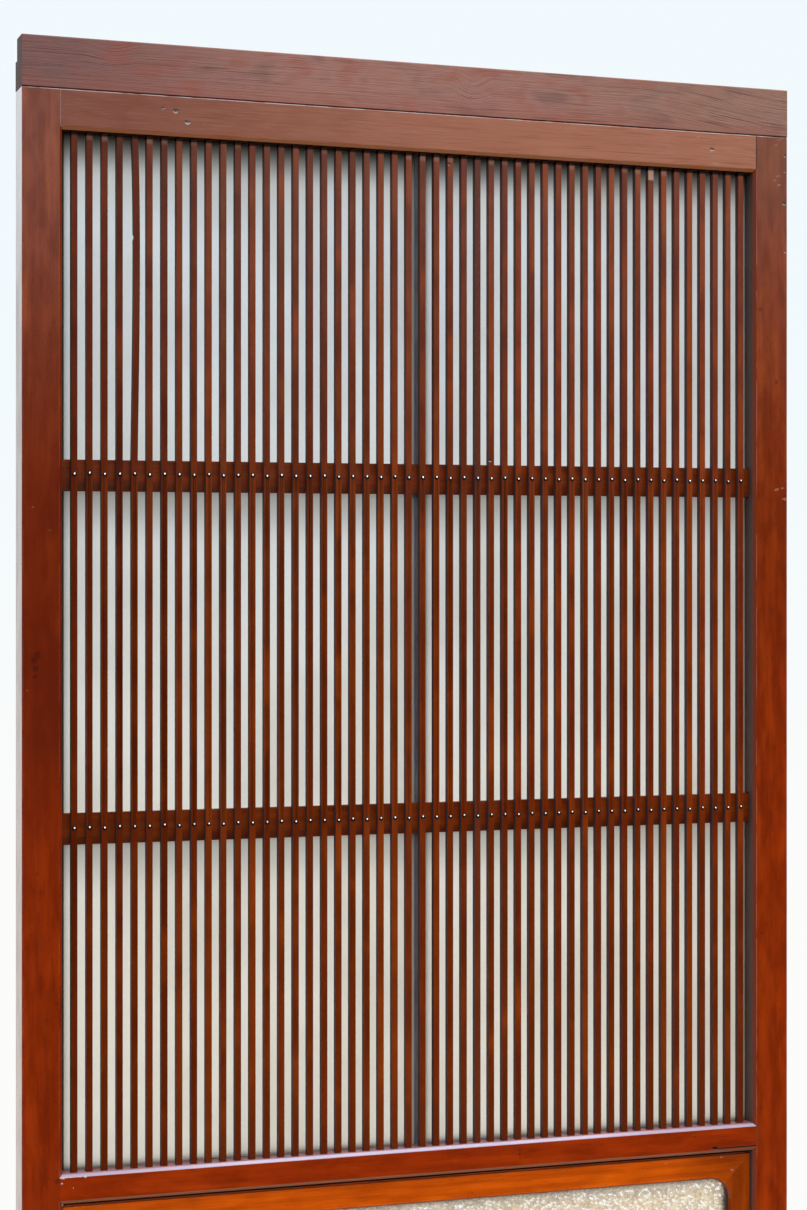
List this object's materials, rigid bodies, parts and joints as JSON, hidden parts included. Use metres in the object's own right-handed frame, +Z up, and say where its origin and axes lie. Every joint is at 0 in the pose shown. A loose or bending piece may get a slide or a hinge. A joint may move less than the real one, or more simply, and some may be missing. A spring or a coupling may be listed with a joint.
{
  "type": "lattice door",
  "caption": "Sliding lattice door leaf: lacquered wood frame, fine upright slats over frosted panes, a lift-out sash with figured glass below, grooved rollers under the bottom rail.",
  "frame": {"origin": "middle of the leaf's thickness and width, at the height of the surface that the wheels stand on", "axes": "+Z up the leaf, +X across it to the right seen from the front, +Y from the front face to the back face"},
  "size_m": [0.88, 0.036, 1.814],
  "materials": {
    "frame_wood": "aged red-brown lacquer, glossy",
    "head_wood": "weathered wood, worn lacquer",
    "lattice_wood": "aged red-brown lacquer, half gloss",
    "sash_wood": "orange-brown lacquer, glossy",
    "bead_wood": "thin dark lacquer",
    "frosted_glass": "ground on one face",
    "figured_glass": "pebbled relief",
    "nail_metal": "bright nickel plate",
    "roller_metal": "zinc plate",
    "wheel_metal": "turned, dull"
  },
  "bodies": {
    "leaf": {"head_extension": "head_wood", "top_rail": "frame_wood", "left_stile": "frame_wood", "right_stile": "frame_wood", "sill_rail": "frame_wood", "bottom_rail": "frame_wood", "upper_batten": "lattice_wood", "lower_batten": "lattice_wood", "left_slats": "lattice_wood", "centre_slat": "lattice_wood", "right_slats": "lattice_wood", "bowed_slat": "lattice_wood", "upper_nails": "nail_metal", "lower_nails": "nail_metal", "glazing_bar": "bead_wood", "left_pane": "frosted_glass", "right_pane": "frosted_glass", "left_pane_outer_bead": "bead_wood", "left_pane_inner_bead": "bead_wood", "left_pane_top_bead": "bead_wood", "left_pane_bottom_bead": "bead_wood", "right_pane_outer_bead": "bead_wood", "right_pane_inner_bead": "bead_wood", "right_pane_top_bead": "bead_wood", "right_pane_bottom_bead": "bead_wood", "sash_top": "sash_wood", "sash_bottom": "sash_wood", "sash_left": "sash_wood", "sash_right": "sash_wood", "figured_pane": "figured_glass", "sash_top_bead": "bead_wood", "sash_bottom_bead": "bead_wood", "sash_left_bead": "bead_wood", "sash_right_bead": "bead_wood", "left_roller_case": "roller_metal", "right_roller_case": "roller_metal", "left_axle": "roller_metal", "right_axle": "roller_metal", "roller_screws": "roller_metal"},
    "left_roller": {"left_wheel": "wheel_metal"},
    "right_roller": {"right_wheel": "wheel_metal"}
  },
  "joints": [
    {"name": "left_wheel_spin", "type": "hinge", "parent": "leaf", "child": "left_roller", "pos_m": [-0.31, 0, 0.017], "axis": [0, 1, 0], "continuous": true},
    {"name": "right_wheel_spin", "type": "hinge", "parent": "leaf", "child": "right_roller", "pos_m": [0.31, 0, 0.017], "axis": [0, 1, 0], "continuous": true}
  ]
}
